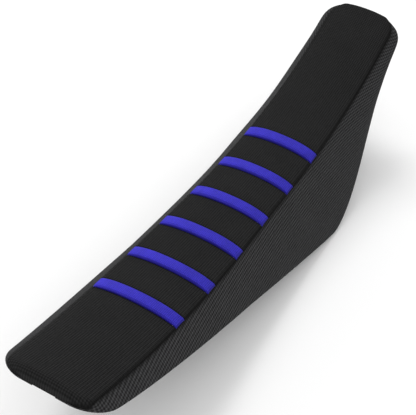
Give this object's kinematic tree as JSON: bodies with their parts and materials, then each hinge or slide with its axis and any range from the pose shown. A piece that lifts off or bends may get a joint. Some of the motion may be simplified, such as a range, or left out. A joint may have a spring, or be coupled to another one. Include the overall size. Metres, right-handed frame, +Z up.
{
  "type": "motorcycle seat",
  "caption": "Long one-piece motocross seat: moulded pan, foam core and a black gripper cover sewn with raised blue cross ribs.",
  "frame": {"origin": "on the axis of the two rear fixing bolts, midway between the seat's sides", "axes": "+X forward along the seat, +Y to the rider's left, +Z up as fitted to the motorcycle"},
  "size_m": [0.648, 0.172, 0.1566],
  "materials": {
    "gripper_top": "matt",
    "gripper_side": "matt",
    "rib_blue": "matt",
    "foam": "matt",
    "rib_padding": "matt",
    "pan_plastic": "textured",
    "nylon": "satin",
    "black_steel": "satin",
    "zinc_steel": "satin",
    "brass": "satin",
    "rubber": "matt"
  },
  "bodies": {
    "root": {"seat_base": "pan_plastic", "foam_core": "foam", "cover_side_left": "gripper_side", "cover_side_right": "gripper_side", "cover_top_1": "gripper_top", "cover_top_2": "gripper_top", "cover_top_3": "gripper_top", "cover_top_4": "gripper_top", "cover_top_5": "gripper_top", "cover_top_6": "gripper_top", "cover_top_7": "gripper_top", "rib_cover_1": "rib_blue", "rib_cover_2": "rib_blue", "rib_cover_3": "rib_blue", "rib_cover_4": "rib_blue", "rib_cover_5": "rib_blue", "rib_cover_6": "rib_blue", "rib_filler_1": "rib_padding", "rib_filler_2": "rib_padding", "rib_filler_3": "rib_padding", "rib_filler_4": "rib_padding", "rib_filler_5": "rib_padding", "rib_filler_6": "rib_padding", "mount_block_left": "nylon", "rear_bracket_left": "black_steel", "grommet_left": "rubber", "collar_left": "zinc_steel", "mount_block_right": "nylon", "rear_bracket_right": "black_steel", "grommet_right": "rubber", "collar_right": "zinc_steel", "bracket_bolts": "zinc_steel", "bracket_inserts": "brass", "front_hook": "zinc_steel", "hook_rivets": "zinc_steel", "mid_tongue": "pan_plastic", "tongue_screws": "zinc_steel", "damper_front_left": "rubber", "damper_front_right": "rubber", "damper_mid_left": "rubber", "damper_mid_right": "rubber", "damper_rear_left": "rubber", "damper_rear_right": "rubber", "staples_left": "zinc_steel", "staples_right": "zinc_steel"}
  },
  "joints": []
}
